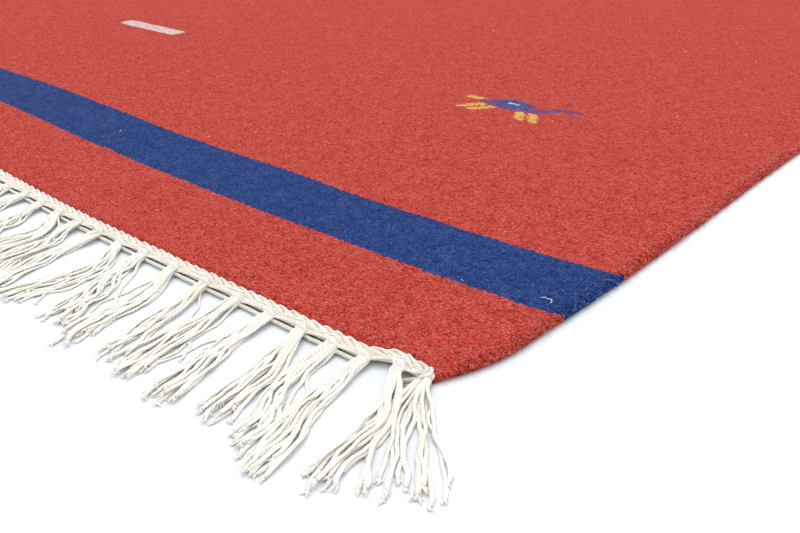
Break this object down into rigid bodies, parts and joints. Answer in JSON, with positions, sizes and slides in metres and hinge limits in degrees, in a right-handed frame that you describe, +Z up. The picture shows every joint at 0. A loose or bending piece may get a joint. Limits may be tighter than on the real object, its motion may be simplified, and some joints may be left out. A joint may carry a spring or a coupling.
{
  "type": "kilim rug",
  "caption": "Flat-woven wool rug lying flat, coral red with a blue stripe near each end, a knotted cream cotton edging and loose tasselled fringes.",
  "frame": {"origin": "middle of the underside, on the floor", "axes": "+Z up through the thickness, +Y along the length from the front fringe to the back fringe, +X across the width"},
  "size_m": [1.2716, 1.9898, 0.006],
  "materials": {
    "wool_weave": "weft-faced plain weave in matt wool, coral red with navy blue stripes",
    "cotton_edging": "undyed plied cotton knotted into a flat edging",
    "cotton_fringe": "undyed plied cotton yarn, loose, with frayed tips"
  },
  "bodies": {
    "root": {"woven_field": "wool_weave", "knotted_edge_front": "cotton_edging", "knotted_edge_back": "cotton_edging", "fringe_front": "cotton_fringe", "fringe_back": "cotton_fringe"}
  },
  "joints": []
}
